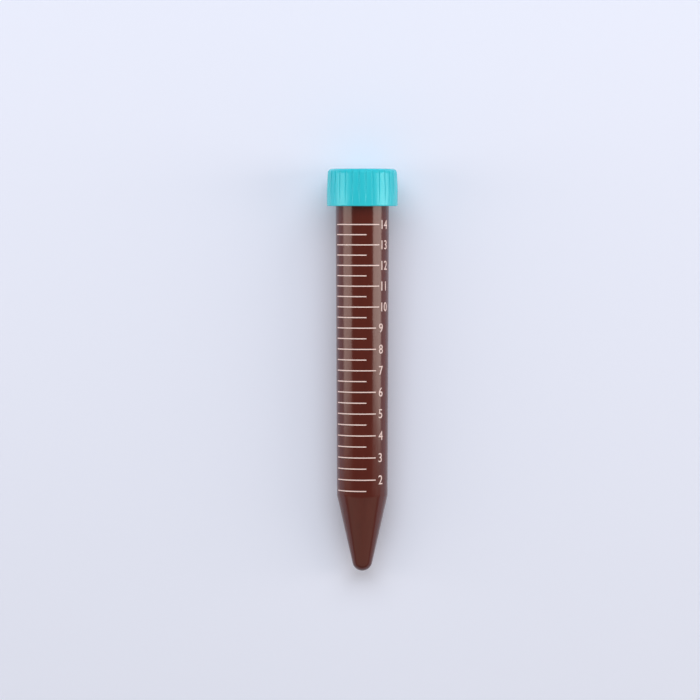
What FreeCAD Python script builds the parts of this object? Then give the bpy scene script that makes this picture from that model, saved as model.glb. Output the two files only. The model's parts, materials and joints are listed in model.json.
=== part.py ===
import FreeCAD, Part
import math
import os
import re

import Sketcher

# A 15 ml conical tube with its screw cap, lying on its side: the cap's lower edge and the shoulder
# above the cone touch the ground, and the printed scale faces up.
#
# Pieces: tube (one moulding, with its neck thread), graduations (the ink of the scale's lines) and
# cap (one moulding, with its flutes and plug seal).
#
# Tube and cap are drawn upright, each about its own Z axis, and are laid down by their Placement.
# In an upright outline, a corner is its distance from the axis and its height.

# Name, size (millimetres unless the note says otherwise) and note, one row of the sheet each.
SIZES = [
    ("tube_length", 119.6, "tip to rim"),
    ("barrel_top_dia", 16.0, "outside, where the draft ends below the cap"),
    ("barrel_low_dia", 15.24, "outside, where the cone begins"),
    ("barrel_wall", 0.75, "wall of the barrel and the neck"),
    ("cone_height", 22.9, "tip to the start of the barrel"),
    ("cone_wall", 1.05, "wall of the cone, square to the axis"),
    ("tip_dia", 4.78, "where the cone's side would meet the bottom"),
    ("tip_wall", 1.6, "thickness of the bottom"),
    ("bore_tip_chamfer", 0.8, "inside corner of the bottom"),
    ("shoulder_rounding", 3.5, "outside, between cone and barrel"),
    ("neck_length", 11.5, "straight stretch below the rim, with no draft"),
    ("rim_chamfer", 0.25, "both edges of the rim"),
    ("thread_pitch", 3.0, "rise of the thread in one turn"),
    ("thread_turns", 1.5, "turns, a plain count"),
    ("thread_depth", 0.85, "height of the thread above the neck"),
    ("thread_foot", 1.7, "width of the thread at the neck"),
    ("thread_crest", 0.7, "width of the thread at its crest"),
    ("thread_root", 0.3, "how far the thread's section is rooted in the wall"),
    ("thread_lead_in", 2.2, "rim to the upper end of the thread"),
    ("cap_height", 11.2, "outside height of the cap"),
    ("cap_wall", 1.55, "side of the cap, over its lower part"),
    ("cap_taper", 0.225, "how far the side leans in, up to the rounded top edge"),
    ("cap_taper_start", 4.5, "lower edge to the start of the side's taper"),
    ("cap_top", 1.4, "thickness of the cap's top"),
    ("cap_edge_rounding", 1.3, "outside, round the top"),
    ("cap_lower_chamfer", 0.3, "outside, round the lower edge"),
    ("cap_clearance", 0.25, "thread crest to the cap's inner wall"),
    ("plug_clearance", 0.08, "plug seal to the tube's bore"),
    ("plug_depth", 2.4, "how far the plug seal reaches into the bore"),
    ("plug_wall", 0.7, "thickness of the plug seal"),
    ("plug_chamfer", 0.25, "outer edge of the plug seal's end"),
    ("cap_turn", 5.6, "turn of the cap from the printed scale, degrees"),
    ("thread_turn", 90.0, "turn of the thread from the printed scale, degrees"),
    ("flute_count", 32, "grip flutes round the cap, a plain count"),
    ("flute_width", 0.6, "width of a flute where it is deepest, at the cap's side"),
    ("flute_floor", 0.25, "width of a flute's floor"),
    ("flute_depth", 0.3, "depth of a flute at the top of the cap"),
    ("flute_band", 1.6, "plain band below the flutes"),
    ("line_thickness", 0.3, "of each printed line, along the axis"),
    ("ink_height", 0.1, "how far the ink stands out of the barrel"),
    ("scale_top", 14.0, "highest line, millilitres"),
    ("scale_bottom", 1.5, "lowest line, millilitres"),
    ("scale_step", 0.5, "from line to line, millilitres"),
    ("scale_top_gap", 3.77, "neck to the highest line"),
    ("scale_low_gap", 1.63, "cone to the lowest line"),
    ("line_start_angle", -69.0, "left end of every line, degrees from the front, right is plus"),
    ("half_line_angle", 8.7, "right end of a half millilitre's line, degrees"),
    ("unit_line_angle", 31.0, "right end of a whole millilitre's line, degrees"),
    ("ten_line_angle", 39.0, "right end of a whole millilitre's line from 10 up, degrees"),
]

FRONT = -90.0  # the side that faces up when the tube lies, as an angle from +X about Z
TOP_EDGE_TURNS = (0, 30, 60, 90)  # corners of the cap's top edge along its quarter turn, degrees
NAMES = {name for name, _, _ in SIZES}

# Sizes that follow from the sheet, as the sheet's own expressions.
NECK_START = "(tube_length - neck_length)"
BARREL_SLOPE = f"((barrel_top_dia - barrel_low_dia) / 2 / ({NECK_START} - cone_height))"
CONE_SLOPE = "((barrel_low_dia - tip_dia) / 2 / cone_height)"
BORE_TOP = "(barrel_top_dia / 2 - barrel_wall)"
BORE_SHOULDER_RISE = f"((cone_wall - barrel_wall) / ({CONE_SLOPE} - {BARREL_SLOPE}))"
BORE_SHOULDER = f"(barrel_low_dia / 2 - barrel_wall + {BARREL_SLOPE} * {BORE_SHOULDER_RISE})"
BORE_SHOULDER_HEIGHT = f"(cone_height + {BORE_SHOULDER_RISE})"
BORE_TIP = f"(tip_dia / 2 - cone_wall + {CONE_SLOPE} * tip_wall)"
CONE_STRETCH = f"sqrt(1 + {CONE_SLOPE} ^ 2)"
TIP_ROUNDING = f"(tip_dia / 2 / ({CONE_STRETCH} - {CONE_SLOPE}))"
CAP_BORE = "(barrel_top_dia / 2 + thread_depth + cap_clearance)"
CAP_SIDE = f"({CAP_BORE} + cap_wall)"
CAP_TOP_SIDE = f"({CAP_SIDE} - cap_taper)"
CAP_CEILING = "(cap_height - cap_top)"
CAP_BASE = "(tube_length + cap_top - cap_height)"
PLUG_OUTER = f"({BORE_TOP} - plug_clearance)"
SCALE_LENGTH = f"({NECK_START} - scale_top_gap - scale_low_gap - cone_height)"
SCALE_WIDENING = f"({BARREL_SLOPE} * {SCALE_LENGTH} / (barrel_low_dia / 2 - barrel_wall))"


def make_sheet(doc):
    """The driving dimensions, one row each: name, size with the name as its alias, note."""
    sheet = doc.addObject("Spreadsheet::Sheet", "Sizes")
    for row, (name, size, note) in enumerate(SIZES, start=1):
        sheet.set(f"A{row}", name)
        sheet.set(f"B{row}", str(size))
        sheet.setAlias(f"B{row}", name)
        sheet.set(f"C{row}", note)
    doc.recompute()
    return sheet


def tied(text):
    """The expression with each size's name pointing at its cell in the sheet."""
    return re.sub(r"[a-z_]+", lambda word: "Sizes." * (word[0] in NAMES) + word[0], text)


def value(sheet, text):
    """What the expression comes to, as a number."""
    return float(sheet.evalExpression(tied(text)))


def outline(body, name, corners, plane="XZ_Plane", lift="0", ball=False):
    """A closed sketch on an origin plane of the body, each corner tied to the sheet.

    Its edges are straight, apart from the first edge of a ball: an arc about a centre on the axis.
    """
    sheet = body.Document.Sizes
    sketch = body.newObject("Sketcher::SketchObject", name)
    sketch.AttachmentSupport = (origin_part(body, plane), [""])
    sketch.MapMode = "FlatFace"
    sketch.setExpression("AttachmentOffset.Base.z", tied(lift))
    points = [FreeCAD.Vector(value(sheet, out), value(sheet, up), 0) for out, up in corners]
    edges = [Part.LineSegment(start, end) for start, end in zip(points, points[1:] + points[:1])]
    if ball:
        edges[0] = ball_arc(points[1])
    sketch.addGeometry(edges)
    if ball:
        sketch.addConstraint(Sketcher.Constraint("PointOnObject", 0, 3, -2))
    for line, (out, up) in enumerate(corners):
        last = (line - 1) % len(corners)
        sketch.addConstraint(Sketcher.Constraint("Coincident", last, 2, line, 1))
        place_corner(sketch, line, "DistanceX", out, -2)
        place_corner(sketch, line, "DistanceY", up, -1)
    return sketch


def ball_arc(end):
    """The arc from the origin to this point that is level at the origin, where it crosses the axis."""
    radius = end.Length ** 2 / 2 / end.y
    centre = FreeCAD.Vector(0, radius, 0)
    circle = Part.Circle(centre, FreeCAD.Vector(0, 0, 1), radius)
    return Part.ArcOfCircle(circle, -math.pi / 2, math.atan2(end.y - radius, end.x))


def place_corner(sketch, line, kind, text, axis):
    """Ties the start of a line to its distance from the origin, or puts it on the axis at distance 0."""
    if text == "0":
        sketch.addConstraint(Sketcher.Constraint("PointOnObject", line, 1, axis))
        return
    distance = Sketcher.Constraint(kind, line, 1, value(sketch.Document.Sizes, text))
    number = sketch.addConstraint(distance)
    sketch.setExpression(f"Constraints[{number}]", tied(text))


def origin_part(body, role):
    """One of the body's own origin planes or axes."""
    return next(part for part in body.Origin.OriginFeatures if part.Role == role)


def revolve(body, name, sketch):
    """A full turn of the sketch about the body's own Z axis."""
    turn = body.newObject("PartDesign::Revolution", name)
    turn.Profile = sketch
    turn.ReferenceAxis = (sketch, ["V_Axis"])
    turn.Angle = 360
    body.Document.recompute()
    return turn


def soften(body, kind, size_property, name, size, rings):
    """Rounds or chamfers the round edges that lie at these (radius, height) places."""
    sheet = body.Document.Sizes
    base = body.Tip
    places = [(value(sheet, out), value(sheet, up)) for out, up in rings]
    edges = [f"Edge{number}" for number, edge in enumerate(base.Shape.Edges, start=1)
             if any(is_ring(edge, *place) for place in places)]
    edge_feature = body.newObject(kind, name)
    edge_feature.Base = (base, edges)
    edge_feature.setExpression(size_property, tied(size))
    body.Document.recompute()
    return edge_feature


def is_ring(edge, radius, height):
    """Is this edge a circle round the Z axis, of this radius and at this height?"""
    if edge.Degenerated or edge.Curve.TypeId != "Part::GeomCircle":
        return False
    ring = edge.Curve
    return math.isclose(ring.Radius, radius, abs_tol=1e-4) and math.isclose(
        ring.Center.z, height, abs_tol=1e-4)


def round_off(body, name, radius, rings):
    return soften(body, "PartDesign::Fillet", "Radius", name, radius, rings)


def bevel(body, name, size, rings):
    return soften(body, "PartDesign::Chamfer", "Size", name, size, rings)


def make_tube(doc):
    """The tube: a drafted barrel on a cone with a rounded tip, and a straight threaded neck."""
    body = doc.addObject("PartDesign::Body", "tube")
    body.Label = "tube"
    wall = outline(body, "tube_section", [
        ("0", "0"),
        (f"{TIP_ROUNDING} / {CONE_STRETCH}", f"{TIP_ROUNDING} * (1 - {CONE_SLOPE} / {CONE_STRETCH})"),
        ("barrel_low_dia / 2", "cone_height"),
        ("barrel_top_dia / 2", NECK_START),
        ("barrel_top_dia / 2", "tube_length"),
        (BORE_TOP, "tube_length"),
        (BORE_TOP, NECK_START),
        (BORE_SHOULDER, BORE_SHOULDER_HEIGHT),
        (BORE_TIP, "tip_wall"),
        ("0", "tip_wall"),
    ], ball=True)
    revolve(body, "tube_wall", wall)
    bevel(body, "bore_tip_bevel", "bore_tip_chamfer", [(BORE_TIP, "tip_wall")])
    round_off(body, "shoulder_round", "shoulder_rounding", [("barrel_low_dia / 2", "cone_height")])
    round_off(body, "bore_shoulder_round", "shoulder_rounding - barrel_wall",
              [(BORE_SHOULDER, BORE_SHOULDER_HEIGHT)])
    bevel(body, "rim_bevel", "rim_chamfer",
          [("barrel_top_dia / 2", "tube_length"), (BORE_TOP, "tube_length")])
    add_thread(body)
    return body


def add_thread(body):
    """The neck's coarse thread: a trapezoid that climbs round the neck and ends below the rim."""
    neck = "barrel_top_dia / 2"
    foot = "tube_length - thread_lead_in - thread_turns * thread_pitch - thread_foot"
    slant = "(thread_foot - thread_crest) / 2"
    section = outline(body, "thread_section", [
        (f"{neck} - thread_root", foot),
        (neck, foot),
        (f"{neck} + thread_depth", f"{foot} + {slant}"),
        (f"{neck} + thread_depth", f"{foot} + {slant} + thread_crest"),
        (neck, f"{foot} + thread_foot"),
        (f"{neck} - thread_root", f"{foot} + thread_foot"),
    ])
    thread = body.newObject("PartDesign::AdditiveHelix", "neck_thread")
    thread.Profile = section
    thread.ReferenceAxis = (section, ["V_Axis"])
    thread.Mode = "pitch-turns-angle"
    thread.setExpression("Pitch", tied("thread_pitch"))
    thread.setExpression("Turns", tied("thread_turns"))
    body.Document.recompute()
    return thread


def make_cap(doc):
    """The cap: a fluted screw cap whose plug seal reaches into the tube's bore."""
    body = doc.addObject("PartDesign::Body", "cap")
    body.Label = "cap"
    plug_inner = f"{PLUG_OUTER} - plug_wall"
    plug_end = f"{CAP_CEILING} - plug_depth"
    wall = outline(body, "cap_section", [
        ("0", CAP_CEILING),
        (plug_inner, CAP_CEILING),
        (plug_inner, plug_end),
        (PLUG_OUTER, plug_end),
        (PLUG_OUTER, CAP_CEILING),
        (CAP_BORE, CAP_CEILING),
        (CAP_BORE, "0"),
        (CAP_SIDE, "0"),
        (CAP_SIDE, "cap_taper_start"),
        *top_edge(),
        ("0", "cap_height"),
    ])
    revolve(body, "cap_wall", wall)
    bevel(body, "cap_lower_bevel", "cap_lower_chamfer", [(CAP_SIDE, "0")])
    bevel(body, "plug_bevel", "plug_chamfer", [(PLUG_OUTER, plug_end)])
    cut_flutes(body)
    return body


def top_edge():
    """The corners of the cap's rounded top edge, drawn as three flats so that the flutes cut it cleanly."""
    return [
        (f"{CAP_TOP_SIDE} - cap_edge_rounding * (1 - cos({turn}))",
         f"cap_height - cap_edge_rounding * (1 - sin({turn}))")
        for turn in TOP_EDGE_TURNS
    ]


def cut_flutes(body):
    """Grip flutes round the cap: deepest at the top, run out to nothing at the plain band."""
    low = flute_section(body, "flute_low", CAP_SIDE, "flute_band")
    high = flute_section(body, "flute_high", f"{CAP_TOP_SIDE} - flute_depth", "cap_height")
    flute = body.newObject("PartDesign::SubtractiveLoft", "flute")
    flute.Profile = low
    flute.Sections = [high]
    flute.Ruled = True
    body.Document.recompute()
    ring = body.newObject("PartDesign::PolarPattern", "flutes")
    ring.Originals = [flute]
    ring.Axis = (origin_part(body, "Z_Axis"), [""])
    ring.Angle = 360
    ring.setExpression("Occurrences", tied("flute_count"))
    body.Tip = ring
    body.Document.recompute()
    return ring


def flute_section(body, name, floor, height):
    """A flute's trapezoid at that height, level, with its floor at that distance from the axis.

    It reaches twice the flute's depth out from the floor, so that it passes the cap's side.
    """
    mouth = f"{floor} + 2 * flute_depth"
    mouth_half = "(flute_floor / 2 + flute_width - flute_floor)"
    return outline(body, name, [
        (floor, "-flute_floor / 2"),
        (mouth, f"-{mouth_half}"),
        (mouth, mouth_half),
        (floor, "flute_floor / 2"),
    ], "XY_Plane", height)


def make_graduations(doc):
    """The scale's printed lines: one for each step of volume, longer at the whole millilitres."""
    sheet = doc.Sizes
    bottom, step = value(sheet, "scale_bottom"), value(sheet, "scale_step")
    steps = round((value(sheet, "scale_top") - bottom) / step)
    lines = doc.addObject("Part::Compound", "line_blanks")
    lines.Links = [make_line(doc, bottom + step * number) for number in range(steps + 1)]
    ground = doc.addObject("Part::Cone", "print_ground")
    ground.setExpression("Radius1", tied("barrel_low_dia / 2"))
    ground.setExpression("Radius2", tied("barrel_top_dia / 2"))
    ground.setExpression("Height", tied(f"{NECK_START} - cone_height"))
    ground.setExpression("Placement.Base.z", tied("cone_height"))
    ink = doc.addObject("Part::Cut", "graduations")
    ink.Label = "graduations"
    ink.Base = lines
    ink.Tool = ground
    doc.recompute()
    return ink


def make_line(doc, millilitres):
    """A level sector of a disc that stands out of the barrel by the ink's height.

    The lines share the scale's length by volume: they draw closer as the bore widens.
    """
    share = f"(({millilitres} - scale_bottom) / (scale_top - scale_bottom))"
    above_cone = f"(scale_low_gap + {SCALE_LENGTH} * {share} * (1 + {SCALE_WIDENING} * (1 - {share})))"
    line = doc.addObject("Part::Cylinder", f"line_{millilitres}".replace(".", "_"))
    line.setExpression("Radius", tied(f"barrel_low_dia / 2 + {BARREL_SLOPE} * {above_cone} + ink_height"))
    line.setExpression("Height", tied("line_thickness"))
    line.setExpression("Angle", tied(f"{line_end(millilitres)} - line_start_angle"))
    line.setExpression("Placement.Base.z", tied(f"cone_height + {above_cone} - line_thickness / 2"))
    line.setExpression("Placement.Rotation.Angle", tied(f"{FRONT} + line_start_angle"))
    return line


def line_end(millilitres):
    """Which of the sheet's angles ends this line on the right."""
    if millilitres != round(millilitres):
        return "half_line_angle"
    return "unit_line_angle" if millilitres < 10 else "ten_line_angle"


def lying_pose(sheet):
    """The Placement that lays the upright tube on the ground, centred over the origin.

    Seen from the side, the ground's line touches the shoulder's round, of centre (along, out), and
    passes through the corner above the bevel of the cap's lower edge.
    """
    barrel = math.atan(value(sheet, BARREL_SLOPE))
    cone = math.atan(value(sheet, CONE_SLOPE))
    shoulder = value(sheet, "shoulder_rounding")
    reach = shoulder / (1 + math.cos(cone - barrel))
    along = value(sheet, "cone_height") + reach * (math.sin(cone) + math.sin(barrel))
    out = value(sheet, "barrel_low_dia / 2") - reach * (math.cos(cone) + math.cos(barrel))
    run = value(sheet, f"{CAP_BASE} + cap_lower_chamfer") - along
    rise = value(sheet, CAP_SIDE) - out
    tilt = math.atan2(rise, run) - math.asin(shoulder / math.hypot(rise, run))
    axis_height = out * math.cos(tilt) - along * math.sin(tilt) + shoulder
    tip_end = value(sheet, TIP_ROUNDING) * (math.cos(tilt) - 1)
    top_reach = value(sheet, f"{CAP_TOP_SIDE} - cap_edge_rounding") * math.sin(tilt)
    top_end = value(sheet, "tube_length + cap_top") * math.cos(tilt) + top_reach
    base = FreeCAD.Vector(0, -(tip_end + top_end) / 2, axis_height)
    return FreeCAD.Placement(base, FreeCAD.Rotation(FreeCAD.Vector(1, 0, 0), math.degrees(tilt) - 90))


def check(doc, parts):
    """Stops before anything is written if a feature failed or a piece is empty or unsound."""
    failed = [o.Name for o in doc.Objects if "Invalid" in o.State or "Error" in o.State]
    if failed:
        raise RuntimeError(f"these objects failed: {failed}")
    for part in parts:
        if part.Shape.isNull() or not part.Shape.isValid() or part.Shape.Volume <= 0:
            raise RuntimeError(f"{part.Label} has no sound shape")


def main():
    doc = FreeCAD.newDocument("conical_tube")
    sheet = make_sheet(doc)
    tube = make_tube(doc)
    graduations = make_graduations(doc)
    cap = make_cap(doc)
    lying = lying_pose(sheet)
    upright = FreeCAD.Vector(0, 0, 1)
    wound = FreeCAD.Rotation(upright, value(sheet, "thread_turn"))
    turned = FreeCAD.Rotation(upright, value(sheet, "cap_turn"))
    seated = FreeCAD.Placement(FreeCAD.Vector(0, 0, value(sheet, CAP_BASE)), turned)
    tube.Placement = lying * FreeCAD.Placement(FreeCAD.Vector(), wound)
    graduations.Placement = lying
    cap.Placement = lying * seated
    doc.recompute()
    parts = [tube, graduations, cap]
    check(doc, parts)
    os.makedirs("parts", exist_ok=True)
    for part in parts:
        part.Shape.exportStep(f"parts/{part.Label}.step")
        print(part.Label, "solids", len(part.Shape.Solids), "volume", round(part.Shape.Volume, 3))
    along = lying.Rotation.multVec(FreeCAD.Vector(0, 0, 1))
    print("axis through", lying.Base, "towards the cap", along)


main()
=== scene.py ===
import json
import math

import bmesh
import bpy
import mathutils
import numpy as np
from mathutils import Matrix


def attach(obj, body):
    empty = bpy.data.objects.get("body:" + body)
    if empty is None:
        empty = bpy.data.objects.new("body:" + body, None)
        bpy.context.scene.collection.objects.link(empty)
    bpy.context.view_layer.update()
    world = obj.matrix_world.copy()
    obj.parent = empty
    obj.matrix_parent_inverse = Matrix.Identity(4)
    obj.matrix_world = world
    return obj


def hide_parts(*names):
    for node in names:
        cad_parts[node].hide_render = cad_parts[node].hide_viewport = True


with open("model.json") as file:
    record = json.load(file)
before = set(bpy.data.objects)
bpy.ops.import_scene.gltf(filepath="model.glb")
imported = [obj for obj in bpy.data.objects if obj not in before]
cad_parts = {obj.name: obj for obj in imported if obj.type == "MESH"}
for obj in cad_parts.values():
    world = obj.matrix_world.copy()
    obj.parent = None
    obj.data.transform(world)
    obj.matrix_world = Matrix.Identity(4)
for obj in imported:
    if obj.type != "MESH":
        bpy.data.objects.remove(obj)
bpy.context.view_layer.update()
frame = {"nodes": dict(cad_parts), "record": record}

# A 15 ml conical tube with its screw cap, lying on its side with the printed scale up.
#
# A place on it is a radius from the axis, a turn round the axis from the side that faces up (plus
# to the right, in degrees) and a height along the axis from the tip's end. Sizes are millimetres.

CAP_TOP_HEIGHT = 121.0     # tip's end to the top of the cap
RIM = 119.6                # tip's end to the rim
NECK_START = 108.1         # end of the drafted barrel, start of the straight neck
CONE_HEIGHT = 22.9         # start of the barrel
BARREL_LOW = 7.62          # radius of the barrel above the cone
BARREL_TOP = 8.0           # radius of the barrel's top and of the neck
CONE_AT_TIP = 2.39         # radius of the cone's side, drawn on down to the tip's end
WALL = 0.75
BALL = 2.997               # radius of the rounded tip
SHOULDER = 3.5             # rounding between cone and barrel
RIM_ROUND = 0.25
BORE_FLOOR = 1.6           # height of the bore's bottom
BORE_LOW = (6.876, 24.24)  # radius and height of the bore where the cone's wall ends
BORE_TIP = 1.705           # radius of the bore at its bottom
BORE_TIP_ROUND = 1.0       # reaches as far as the 0.8 mm bevel of the source

THREAD_PITCH = 3.0
THREAD_DEPTH = 0.85
THREAD_HALF_FOOT = 0.85    # half width at the neck
THREAD_HALF_CREST = 0.35   # half width at the crest
THREAD_START = 112.05      # height of the middle of the thread's lower end
THREAD_TURN = 180.0        # turn of the thread's lower end
THREAD_SWEEP = 540.0       # how far round it goes
THREAD_FADE = 18.0         # over which each end runs out
INNER_THREAD_LEAD = 270.0  # the cap's own thread starts this many degrees sooner
INNER_THREAD_DROP = 0.75   # and this much lower, so that it runs midway between the tube's turns
INNER_THREAD_SWEEP = 600.0

CAP_BASE = 109.8           # height of the cap's lower edge; what follows is above it
CAP_SIDE = 10.65
CAP_TOP_SIDE = 10.425
CAP_TAPER_START = 4.5
CAP_HEIGHT = 11.2
CAP_EDGE = 1.3             # rounding of the top edge
CAP_BEVEL = 0.3
CAP_BORE = 9.1
CAP_CEILING = 9.8
PLUG_OUT, PLUG_IN, PLUG_END = 7.17, 6.47, 7.4
PLUG_ROUNDS = (0.3, 0.25, 0.15, 0.3)   # of the seal's corners: outer foot, end, end, inner foot
CAP_TURN = 5.6             # turn of the cap's flutes from the printed scale
FLUTES = 32
FLUTE_BAND = 1.6           # plain band below the flutes
FLUTE_FLOOR_TOP = 10.125   # how far a flute's floor is from the axis at the cap's top
FLUTE_LEAN = (CAP_SIDE - FLUTE_FLOOR_TOP) / (CAP_HEIGHT - FLUTE_BAND)   # inwards, for each mm up
FLUTE_HALF_FLOOR = 0.125   # half width of a flute's floor
FLUTE_SIDE = 1.714         # how far a flute's side goes out for each mm that it goes round
FLUTE_SOFT = 0.05          # rounding of the flutes' edges

INK = 0.1                  # how far the print stands out
INK_ROOT = 0.05            # how far the numerals reach into the barrel
DIGIT_HEIGHT = 2.7
DIGIT_WIDTH = 0.93         # how wide a digit is drawn, for the font's own 1
NUMBERS = range(2, 15)
ONE_DIGIT_TURN, TWO_DIGIT_TURN = 39.0, 45.5     # turn of a number's left end
STRIP = 0.35               # width of the strips that let a number bend round the barrel
SCALE_BOTTOM, SCALE_TOP = 1.5, 14.0             # lowest and highest line, millilitres
LOW_LINE, HIGH_LINE = CONE_HEIGHT + 1.63, NECK_START - 3.77   # their heights

ROW_STEP = 2.0             # longest run between two rows of the mesh along a plain surface
THREAD_ROW_STEP = 0.13     # the same where the tube's thread is
INNER_ROW_STEP = 0.2       # the same where the cap's thread is
CAP_ROW_STEP = 0.7         # the same on the cap's outside
BALL_ROWS = 14
TUBE_COLUMNS = 192
# Distances of the cap's columns from the middle of the nearest flute, on each side of it:
FLUTE_COLUMNS = np.array([0.0, 0.09, 0.13, 0.17, 0.21, 0.25, 0.29, 0.34, 0.42, 0.6, 0.82])

CAMERA_DISTANCE = 1050.0   # from the tube's axis
CAMERA_AIM = 66.57         # height on the axis that it looks at
CAMERA_LEFT = 3.7          # how far it stands to the left
CAMERA_LENS = 179.7

top = next(mount for mount in frame["record"]["mounts"] if mount["name"] == "cap_top")
ALONG = np.array(top["axis"])
RIGHT = np.array([1.0, 0.0, 0.0])
UP = np.cross(RIGHT, ALONG)
TIP = np.array(top["pos_m"]) - ALONG * CAP_TOP_HEIGHT / 1000


def place(radius, turn, height):
    """Points in the frame, in metres: out along the turn's direction, then along the axis."""
    angle = np.radians(turn)
    steps = [(radius * np.sin(angle), RIGHT), (radius * np.cos(angle), UP), (height, ALONG)]
    return TIP + sum(np.multiply.outer(length / 1000, way) for length, way in steps)


# ---- surfaces ----

def rounded(corners, roundings, arc_steps=8):
    """The outline through the corners, with each inner one rounded by a tangent arc.

    An arc starts and ends where it touches the straight runs: at rounding x tan(half the bend)
    from the corner. Its centre is off the corner along the line that halves the bend.
    """
    corners = [np.array(corner, float) for corner in corners]
    path = [corners[0][None]]
    for before, corner, after, rounding in zip(corners, corners[1:], corners[2:], roundings):
        come = (corner - before) / np.linalg.norm(corner - before)
        go = (after - corner) / np.linalg.norm(after - corner)
        bend = math.atan2(come[0] * go[1] - come[1] * go[0], come @ go)
        touch = corner - come * rounding * math.tan(abs(bend) / 2)
        side = np.array([-come[1], come[0]]) * math.copysign(1, bend)
        turned = np.linspace(0, abs(bend), arc_steps + 1 if rounding else 1)[:, None]
        path.append(touch + rounding * (come * np.sin(turned) + side * (1 - np.cos(turned))))
    return np.vstack(path + [corners[-1][None]])


def finer(path, longest):
    """The same outline, with rows added on its runs so that none is longer than this."""
    counts = np.maximum(1, np.ceil(np.linalg.norm(np.diff(path, axis=0), axis=1) / longest))
    along = np.concatenate([start + np.arange(count) / count for start, count in enumerate(counts)])
    along = np.append(along, len(path) - 1)
    rows = np.arange(len(path))
    return np.stack([np.interp(along, rows, column) for column in path.T], axis=1)


def closed_turning(name, turns, radius, height):
    """A closed skin round the axis: rows follow the outline, from the axis back to the axis.

    Radius and height are grids, one row for each point of the outline and one column for each
    turn. The first and the last row shrink to a single point on the axis each.
    """
    rows, columns = radius.shape[0] - 2, len(turns)
    grid = place(radius[1:-1], turns, height[1:-1]).reshape(-1, 3)
    poles = place(np.zeros(2), np.zeros(2), height[[0, -1], 0])
    here = np.arange(rows * columns).reshape(rows, columns)
    right = np.roll(here, -1, axis=1)
    quads = np.stack([here[:-1], right[:-1], right[1:], here[1:]], axis=-1).reshape(-1, 4)
    first = np.stack([np.full(columns, len(grid)), right[0], here[0]], axis=-1)
    last = np.stack([here[-1], right[-1], np.full(columns, len(grid) + 1)], axis=-1)
    faces = quads.tolist() + first.tolist() + last.tolist()
    return piece(name, np.vstack([grid, poles]), faces)


def piece(name, points, faces, crease=40.0):
    """An object at the origin with this mesh, smooth apart from edges sharper than the crease."""
    mesh = bpy.data.meshes.new(name)
    mesh.from_pydata(points.tolist(), [], faces)
    mesh.shade_smooth()
    mesh.set_sharp_from_angle(angle=math.radians(crease))
    made = bpy.data.objects.new(name, mesh)
    bpy.context.scene.collection.objects.link(made)
    return made


def read_points(mesh):
    """The mesh's vertices, one row each."""
    points = np.empty(len(mesh.vertices) * 3)
    mesh.vertices.foreach_get("co", points)
    return points.reshape(-1, 3)


def write_points(mesh, points):
    """Moves the mesh's vertices to these points."""
    mesh.vertices.foreach_set("co", points.ravel())


def wound(turns, height, start_turn, start_height, sweep):
    """How much of a thread's full height there is at each place, from 0 to 1.

    Its middle climbs one pitch a turn. Across it, the share falls from 1 at the crest's edge to 0
    at the foot's edge, half of it straight and half smooth, and it runs out at both ends.
    """
    share = np.zeros(np.broadcast(turns, height).shape)
    laps = math.ceil(sweep / 360)
    for lap in range(-1, laps + 1):
        gone = (turns - start_turn) % 360 + 360 * lap
        middle = start_height + THREAD_PITCH * gone / 360
        inward = THREAD_HALF_FOOT - np.abs(height - middle)
        across = np.clip(inward / (THREAD_HALF_FOOT - THREAD_HALF_CREST), 0, 1)
        across = (across + across * across * (3 - 2 * across)) / 2
        ends = np.clip(np.minimum(gone, sweep - gone) / THREAD_FADE, 0, 1)
        share = np.maximum(share, across * np.sqrt(ends))
    return share


def make_tube():
    """The tube in one moulding: ball tip, cone, drafted barrel, threaded neck, rim and bore.

    The outline is turned round the axis, and the neck's thread is added to its radius.
    """
    lean = math.atan((BARREL_LOW - CONE_AT_TIP) / CONE_HEIGHT)
    meet = (BALL * math.cos(lean), BALL * (1 - math.sin(lean)))
    angles = np.linspace(0, math.pi / 2 - lean, BALL_ROWS)
    ball = np.stack([BALL * np.sin(angles), BALL * (1 - np.cos(angles))], axis=1)
    side = rounded([meet, (BARREL_LOW, CONE_HEIGHT), (BARREL_TOP, NECK_START)], [SHOULDER])
    side = finer(side, ROW_STEP)
    neck = rounded([(BARREL_TOP, NECK_START), (BARREL_TOP, RIM), (BARREL_TOP - WALL, RIM),
                    (BARREL_TOP - WALL, NECK_START)], [RIM_ROUND, RIM_ROUND], arc_steps=5)
    bore = rounded([(BARREL_TOP - WALL, NECK_START), BORE_LOW, (BORE_TIP, BORE_FLOOR),
                    (0, BORE_FLOOR)], [SHOULDER - WALL, BORE_TIP_ROUND])
    outside = finer(neck[:-1], THREAD_ROW_STEP)
    inside = finer(np.vstack([neck[-2:-1], bore]), ROW_STEP)
    outline = np.vstack([ball, side[1:], outside[1:], inside[1:]])
    turns = np.arange(0, 360, 360 / TUBE_COLUMNS)
    radius = np.repeat(outline[:, :1], len(turns), axis=1)
    height = np.repeat(outline[:, 1:], len(turns), axis=1)
    neck_row = len(ball) + len(side) - 2        # where the side ends
    on_neck = np.arange(len(outline))[:, None] >= neck_row
    on_outside = on_neck & np.isclose(radius, BARREL_TOP)
    ridge = wound(turns, height, THREAD_TURN, THREAD_START, THREAD_SWEEP)
    return closed_turning("tube_body", turns, radius + on_outside * THREAD_DEPTH * ridge, height)


def flute_turns():
    """The columns round the cap, in degrees: close together at each flute, wide on the ridges."""
    pitch = 2 * math.pi * CAP_SIDE / FLUTES
    half = FLUTE_COLUMNS / pitch
    steps = np.concatenate([-half[:0:-1], half])
    return CAP_TURN + ((np.arange(FLUTES)[:, None] + steps) * 360 / FLUTES).ravel()


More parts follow.
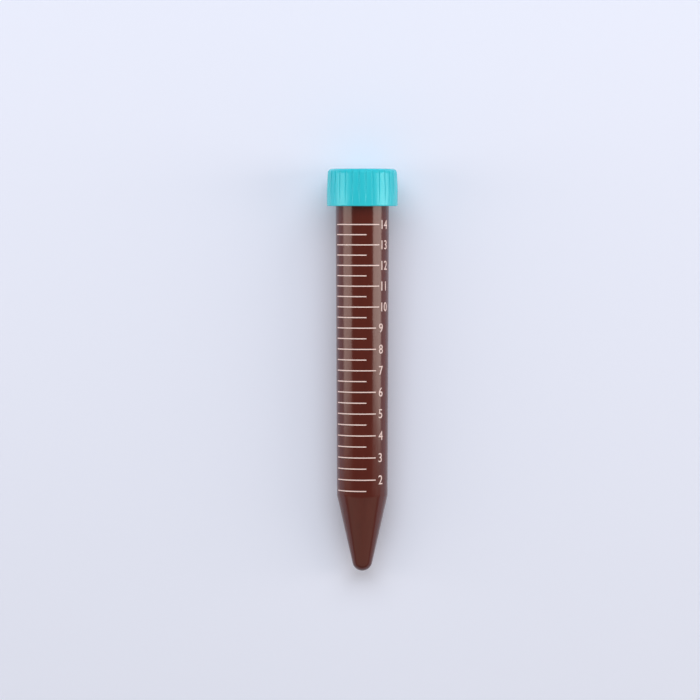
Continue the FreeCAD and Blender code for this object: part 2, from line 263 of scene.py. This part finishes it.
def make_cap():
    """The screw cap in one moulding: fluted side, rounded top edge, plug seal and inner thread.

    The outline is turned round the axis, and the inner thread is taken off the bore's radius.
    A flute is a groove with a flat floor and slanted sides. At a turn off its middle, the floor
    is floor / cos(off) from the axis, and a side (floor - slant x half floor) / (cos(off) - slant
    x sin(off)). The farther of the two is the cut. Where it is nearer the axis than the outline
    is, it takes over, with a soft edge.
    """
    top_round = CAP_HEIGHT - CAP_EDGE
    shell = rounded([(0, CAP_HEIGHT), (CAP_TOP_SIDE, CAP_HEIGHT), (CAP_TOP_SIDE, top_round),
                     (CAP_SIDE, CAP_TAPER_START), (CAP_SIDE, 0), (CAP_BORE, 0)],
                    [CAP_EDGE, 0, 0, CAP_BEVEL], arc_steps=7)
    shell = finer(shell, CAP_ROW_STEP)
    bore = finer(np.array([(CAP_BORE, 0), (CAP_BORE, CAP_CEILING)]), INNER_ROW_STEP)
    seal = rounded([(CAP_BORE, CAP_CEILING), (PLUG_OUT, CAP_CEILING), (PLUG_OUT, PLUG_END),
                    (PLUG_IN, PLUG_END), (PLUG_IN, CAP_CEILING), (0, CAP_CEILING)],
                   PLUG_ROUNDS, arc_steps=4)
    outline = np.vstack([shell, bore[1:], seal[1:]])
    turns = flute_turns()
    radius = np.repeat(outline[:, :1], len(turns), axis=1)
    height = np.repeat(outline[:, 1:], len(turns), axis=1)
    off = np.radians((turns - CAP_TURN + 180 / FLUTES) % (360 / FLUTES) - 180 / FLUTES)
    floor = CAP_SIDE - FLUTE_LEAN * (height - FLUTE_BAND)
    widening = np.cos(off) - FLUTE_SIDE * np.abs(np.sin(off))
    cut = np.maximum(floor / np.cos(off), (floor - FLUTE_SIDE * FLUTE_HALF_FLOOR) / widening)
    radius = soft_least(radius, cut, FLUTE_SOFT)
    row = np.arange(len(outline))[:, None]
    on_bore = (row >= len(shell)) & (row < len(shell) + len(bore) - 1)
    ridge = wound(turns, height + CAP_BASE, THREAD_TURN - INNER_THREAD_LEAD,
                  THREAD_START - INNER_THREAD_DROP, INNER_THREAD_SWEEP)
    return closed_turning("cap_shell", turns, radius - on_bore * THREAD_DEPTH * ridge,
                          height + CAP_BASE)


def soft_least(first, second, soft):
    """The smaller of two lengths, rounded over where they are about the same.

    It is the smaller one, less soft x (1 - difference / (4 x soft)) squared where they differ by
    less than 4 x soft.
    """
    nearness = np.clip(1 - np.abs(first - second) / (4 * soft), 0, 1)
    return np.minimum(first, second) - nearness ** 2 * soft


def barrel_radius(height):
    """The radius of the barrel's outside, which grows evenly from the cone to the neck."""
    return np.interp(height, [CONE_HEIGHT, NECK_START], [BARREL_LOW, BARREL_TOP])


def line_height(millilitres):
    """The height of a line: the lines draw closer as the bore widens, at equal steps of volume."""
    share = (millilitres - SCALE_BOTTOM) / (SCALE_TOP - SCALE_BOTTOM)
    length = HIGH_LINE - LOW_LINE
    widening = (BARREL_TOP - BARREL_LOW) / (NECK_START - CONE_HEIGHT) * length / (BARREL_LOW - WALL)
    return LOW_LINE + length * share * (1 + widening * (1 - share))


def flat_number(number):
    """A number's filled letters as a flat mesh, in millimetres.

    They run across from the number's left end, and up and down from its middle.
    """
    words = bpy.data.curves.new("words", "FONT")
    words.body = str(number)
    words.resolution_u = 4
    words_object = bpy.data.objects.new("words", words)
    mesh = bpy.data.meshes.new_from_object(words_object)
    bpy.data.objects.remove(words_object)
    points = read_points(mesh)
    low, high = points.min(axis=0), points.max(axis=0)
    size = DIGIT_HEIGHT / (high[1] - low[1])
    points[:, 0] = (points[:, 0] - low[0]) * size * DIGIT_WIDTH
    points[:, 1] = (points[:, 1] - (low[1] + high[1]) / 2) * size
    write_points(mesh, points)
    return mesh


def make_numerals():
    """The scale's numbers: flat letters cut into strips, thickened and wrapped round the barrel.

    The way across becomes a turn round the barrel: across / the barrel's radius at that height.
    """
    shape = bmesh.new()
    for number in NUMBERS:
        mesh = flat_number(number)
        points = read_points(mesh)
        height = line_height(number)
        start = math.radians(TWO_DIGIT_TURN if number > 9 else ONE_DIGIT_TURN)
        points[:, 0] += start * float(barrel_radius(height))
        points[:, 1] += height
        write_points(mesh, points)
        shape.from_mesh(mesh)
        bpy.data.meshes.remove(mesh)
    leftmost, rightmost = 5.0, 12.0     # all numbers lie between these
    for across in np.arange(leftmost, rightmost, STRIP):
        bmesh.ops.bisect_plane(shape, geom=shape.verts[:] + shape.edges[:] + shape.faces[:],
                               plane_co=(across, 0, 0), plane_no=(1, 0, 0))
    touching = 0.0005
    bmesh.ops.remove_doubles(shape, verts=shape.verts[:], dist=touching)
    grown = bmesh.ops.extrude_face_region(shape, geom=shape.faces[:], use_keep_orig=True)
    lifted = [part for part in grown["geom"] if isinstance(part, bmesh.types.BMVert)]
    bmesh.ops.translate(shape, verts=lifted, vec=(0, 0, 1))
    bmesh.ops.recalc_face_normals(shape, faces=shape.faces[:])
    mesh = bpy.data.meshes.new("thickened")
    shape.to_mesh(mesh)
    shape.free()
    across, height, lift = read_points(mesh).T
    barrel = barrel_radius(height)
    radius = barrel - INK_ROOT + lift * (INK + INK_ROOT)
    wrapped = place(radius, np.degrees(across / barrel), height)
    # Thickening leaves the faces in no fixed order: each gets its lowest vertex first, and they
    # are sorted, so that every run gives the same mesh.
    faces = [list(face.vertices) for face in mesh.polygons]
    faces = sorted(np.roll(face, -np.argmin(face)).tolist() for face in faces)
    bpy.data.meshes.remove(mesh)
    return piece("numerals", wrapped, faces)


# ---- materials ----

def linear(hex_colour):
    """An sRGB colour, written as #rrggbb, as linear numbers with an alpha of 1."""
    parts = np.array([int(hex_colour[start:start + 2], 16) for start in (1, 3, 5)]) / 255
    return (*np.where(parts > 0.04045, ((parts + 0.055) / 1.055) ** 2.4, parts / 12.92), 1.0)


def add_node(tree, kind, inputs=None, **settings):
    """Adds a node. Its inputs, by name or number, get a value or another node's output."""
    made = tree.nodes.new(kind)
    for name, setting in settings.items():
        setattr(made, name, setting)
    for name, given in (inputs or {}).items():
        if isinstance(given, bpy.types.NodeSocket):
            tree.links.new(given, made.inputs[name])
        else:
            made.inputs[name].default_value = given
    return made


def start_material(name):
    """An empty material: its node tree, and the place on the object in millimetres."""
    material = bpy.data.materials.new(name)
    material.use_nodes = True
    tree = material.node_tree
    tree.nodes.clear()
    coordinates = add_node(tree, "ShaderNodeTexCoord")
    millimetres = add_node(tree, "ShaderNodeMapping",
                           {"Vector": coordinates.outputs["Object"], "Scale": (1000, 1000, 1000)})
    return material, tree, millimetres.outputs["Vector"]


def finish_material(tree, inputs):
    """Adds the shader, with these inputs, and the material's output."""
    shader = add_node(tree, "ShaderNodeBsdfPrincipled", inputs)
    add_node(tree, "ShaderNodeOutputMaterial", {"Surface": shader.outputs["BSDF"]})


def streaks(tree, millimetres, across, stretch, detail=3.0):
    """Noise of this size across, in mm, drawn out along the tube's axis: flow marks."""
    scale = (1 / across, 1 / (across * stretch), 1 / across)
    flow = add_node(tree, "ShaderNodeMapping", {"Vector": millimetres, "Scale": scale})
    noise = add_node(tree, "ShaderNodeTexNoise", {
        "Vector": flow.outputs["Vector"], "Scale": 1.0, "Detail": detail, "Roughness": 0.55})
    return noise.outputs["Fac"]


def between(tree, share, low, high):
    """A number that goes from low to high as the share goes from 0 to 1."""
    spread = add_node(tree, "ShaderNodeMapRange", {"Value": share, "To Min": low, "To Max": high})
    return spread.outputs["Result"]


def blend_colours(tree, share, first, second):
    """A colour that goes from the first to the second as the share goes from 0 to 1.

    The node holds sockets for numbers, vectors and colours. Inputs 6 and 7 and output 2 are its
    colours.
    """
    mixed = add_node(tree, "ShaderNodeMix", {"Factor": share, 6: linear(first), 7: linear(second)},
                     data_type="RGBA")
    return mixed.outputs[2]


def brown_polypropylene():
    """Polypropylene with brown pigment that keeps light out, moulded in a polished tool.

    It is glossy and nearly opaque. Flow marks drawn out along the tube change its shade and gloss
    a little, and the surface waves by a few thousandths of a millimetre.
    """
    material, tree, place_mm = start_material("brown_polypropylene_moulded")
    flow = streaks(tree, place_mm, 2.5, 14)
    fine = streaks(tree, place_mm, 0.35, 5)
    wave = add_node(tree, "ShaderNodeBump", {"Height": fine, "Strength": 0.06, "Distance": 0.0001})
    finish_material(tree, {
        "Base Color": blend_colours(tree, flow, "#4d190d", "#5e2113"),
        "Roughness": between(tree, fine, 0.13, 0.2),
        "IOR": 1.49,
        "Normal": wave.outputs["Normal"],
    })
    return material


def turquoise_polyethylene():
    """High-density polyethylene in turquoise, moulded in a tool with a fine satin finish.

    It has a soft sheen. The pigment follows the flow, so that faint streaks run up the cap.
    """
    material, tree, place_mm = start_material("turquoise_polyethylene_moulded")
    flow = streaks(tree, place_mm, 1.6, 10)
    grain = add_node(tree, "ShaderNodeTexNoise",
                     {"Vector": place_mm, "Scale": 6.0, "Detail": 2.0}).outputs["Fac"]
    satin = add_node(tree, "ShaderNodeBump", {"Height": grain, "Strength": 0.12, "Distance": 0.0001})
    finish_material(tree, {
        "Base Color": blend_colours(tree, flow, "#1dc0cf", "#3accd7"),
        "Roughness": between(tree, grain, 0.2, 0.27),
        "IOR": 1.54,
        "Specular IOR Level": 0.75,
        "Specular Tint": linear("#b0f8ff"),
        "Normal": satin.outputs["Normal"],
    })
    return material


def white_print():
    """Screen-printed ink, off-white and matt, a little uneven where the mesh of the screen left it."""
    material, tree, place_mm = start_material("white_ink_screen_printed")
    mesh_marks = add_node(tree, "ShaderNodeTexNoise",
                          {"Vector": place_mm, "Scale": 3.5, "Detail": 3.0}).outputs["Fac"]
    rough = add_node(tree, "ShaderNodeBump",
                     {"Height": mesh_marks, "Strength": 0.2, "Distance": 0.00005})
    finish_material(tree, {
        "Base Color": blend_colours(tree, mesh_marks, "#ecd2c8", "#f6e0d7"),
        "Roughness": between(tree, mesh_marks, 0.5, 0.65),
        "Normal": rough.outputs["Normal"],
    })
    return material


def pale_floor():
    """Matt painted board, pale grey with a breath of lavender."""
    material, tree, place_mm = start_material("painted_board")
    patches = add_node(tree, "ShaderNodeTexNoise",
                       {"Vector": place_mm, "Scale": 0.004, "Detail": 1.0}).outputs["Fac"]
    finish_material(tree, {
        "Base Color": blend_colours(tree, patches, "#e6ebf8", "#e9eefa"),
        "Roughness": 0.9,
        "Specular IOR Level": 0.2,
    })
    return material


def paint(made, material):
    """Gives an object this one material."""
    made.data.materials.clear()
    made.data.materials.append(material)


# ---- pieces ----

tube_body = make_tube()
paint(tube_body, brown_polypropylene())
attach(tube_body, "tube")
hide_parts("tube")

ink = white_print()
frame["nodes"]["graduations"].material_slots[0].material = ink
numerals = make_numerals()
paint(numerals, ink)
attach(numerals, "tube")

cap_shell = make_cap()
paint(cap_shell, turquoise_polyethylene())
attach(cap_shell, "cap")
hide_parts("cap")


# ---- floor, light and camera ----

def make_floor(half=4.0, count=9):
    """A flat square under the tube, subdivided so that its noise is read evenly."""
    steps = np.linspace(-half, half, count)
    across, along = np.meshgrid(steps, steps)
    points = np.stack([across, along, np.zeros_like(across)], axis=-1).reshape(-1, 3)
    here = np.arange(count * count).reshape(count, count)
    quads = np.stack([here[:-1, :-1], here[:-1, 1:], here[1:, 1:], here[1:, :-1]], axis=-1)
    floor = piece("floor", points, quads.reshape(-1, 4).tolist())
    paint(floor, pale_floor())


def add_panel(name, centre, facing, tall, wide, radiance, colour, polarised=False):
    """A soft rectangular panel, in metres. Its width runs level, and it faces the given point.

    A polarised panel lights the surfaces and leaves no reflection of itself in them.
    """
    light = bpy.data.lights.new(name, "AREA")
    light.shape = "RECTANGLE"
    light.size, light.size_y = wide, tall
    light.energy = radiance * math.pi * wide * tall
    light.color = linear(colour)[:3]
    panel = bpy.data.objects.new(name, light)
    panel.location = centre
    panel.visible_glossy = not polarised
    aim = mathutils.Vector(facing) - mathutils.Vector(centre)
    level = aim.cross((0, 0, 1)).normalized()
    panel.rotation_euler = mathutils.Matrix(
        [level, level.cross(aim).normalized(), -aim.normalized()]).transposed().to_euler()
    bpy.context.scene.collection.objects.link(panel)


def light_room():
    """A dim, cool room all round, which fills in what the panels leave dark."""
    world = bpy.data.worlds.new("room")
    world.use_nodes = True
    background = world.node_tree.nodes["Background"]
    background.inputs["Color"].default_value = linear("#f4f6ff")
    background.inputs["Strength"].default_value = 0.25
    bpy.context.scene.world = world


def aim_camera():
    """Over the cap's lower edge, looking down at the tube's middle, with the cap at the top."""
    left = RIGHT * CAMERA_LEFT / 1000
    eye = place(CAMERA_DISTANCE, 0.0, CAP_BASE) - left
    aim = place(0.0, 0.0, CAMERA_AIM) - left
    back = (eye - aim) / np.linalg.norm(eye - aim)
    right = np.cross(ALONG, back)
    right /= np.linalg.norm(right)
    upward = np.cross(back, right)
    matrix = np.eye(4)
    matrix[:3] = np.stack([right, upward, back, eye], axis=1)
    lens = bpy.data.cameras.new("camera")
    lens.sensor_width = 36.0
    lens.lens = CAMERA_LENS
    camera = bpy.data.objects.new("camera", lens)
    camera.matrix_world = mathutils.Matrix(matrix.tolist())
    bpy.context.scene.collection.objects.link(camera)
    bpy.context.scene.camera = camera


make_floor()
for side, radiance in ((-1, 3.55), (1, 4.8)):
    add_panel(f"side_panel_{side}", centre=(0.6 * side, 0.033, 0.285), facing=(0, 0.033, 0.285),
              tall=0.55, wide=0.194, radiance=radiance, colour="#ffeee4")
add_panel("overhead_panel", centre=(0, 0.46, 0.62), facing=(0, 0.02, 0),
          tall=0.6, wide=1.0, radiance=2.65, colour="#f6f9ff", polarised=True)
add_panel("tip_panel", centre=(0, -0.5, 0.42), facing=(0, 0, 0),
          tall=0.4, wide=3.6, radiance=0.42, colour="#fff5e0")
light_room()
aim_camera()
bpy.context.scene.view_settings.view_transform = "Standard"

bpy.context.view_layer.update()
